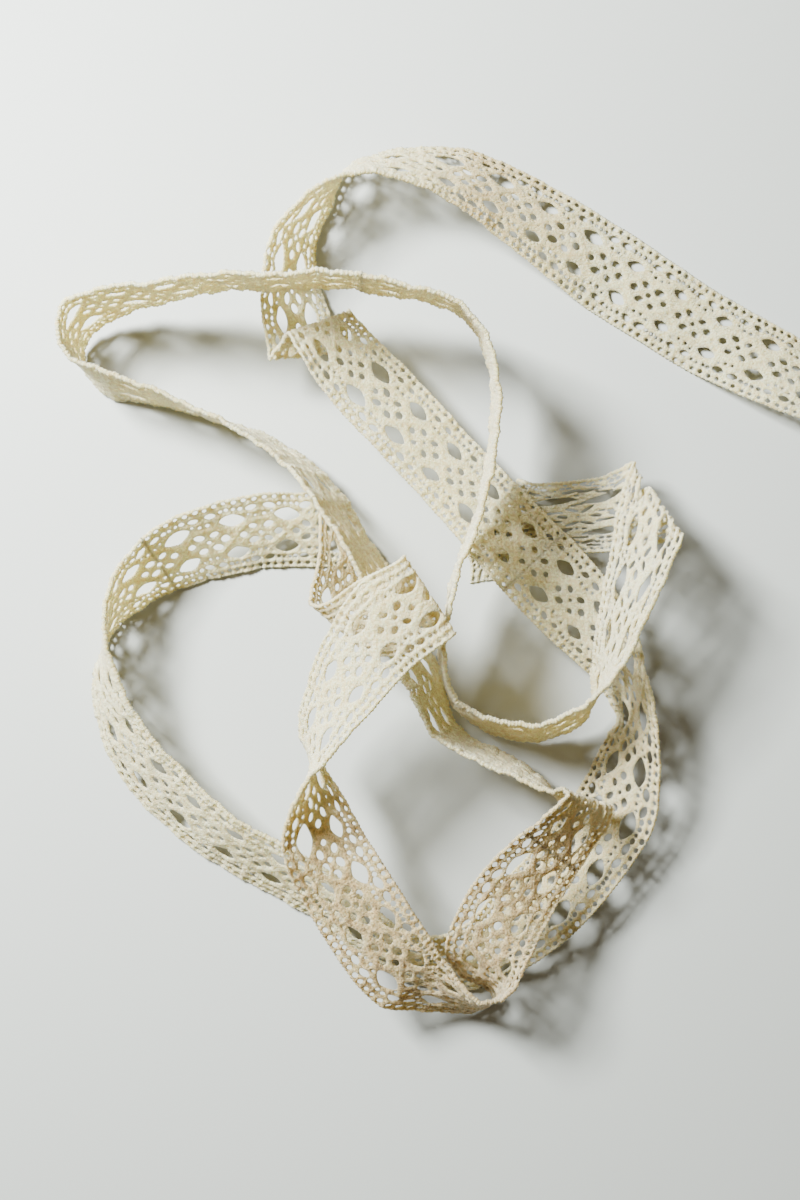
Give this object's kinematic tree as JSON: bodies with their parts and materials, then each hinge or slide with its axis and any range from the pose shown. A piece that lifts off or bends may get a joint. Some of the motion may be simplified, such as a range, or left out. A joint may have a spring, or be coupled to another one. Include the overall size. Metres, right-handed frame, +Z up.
{
  "type": "loose length of lace ribbon",
  "caption": "Length of narrow cotton lace ribbon lying in a loose tangle, with a flat tail, standing walls, folds and openwork eye gaps cut through.",
  "frame": {"origin": "bottom centre of the tangle's bounding box, on the table", "axes": "+Z up from the table, +Y away from the viewer (up in the picture), +X to the right"},
  "size_m": [0.2209, 0.248, 0.0446],
  "materials": {
    "lace cotton": "matte ecru cotton yarn"
  },
  "bodies": {
    "root": {"lace_ribbon": "lace cotton"}
  },
  "joints": []
}
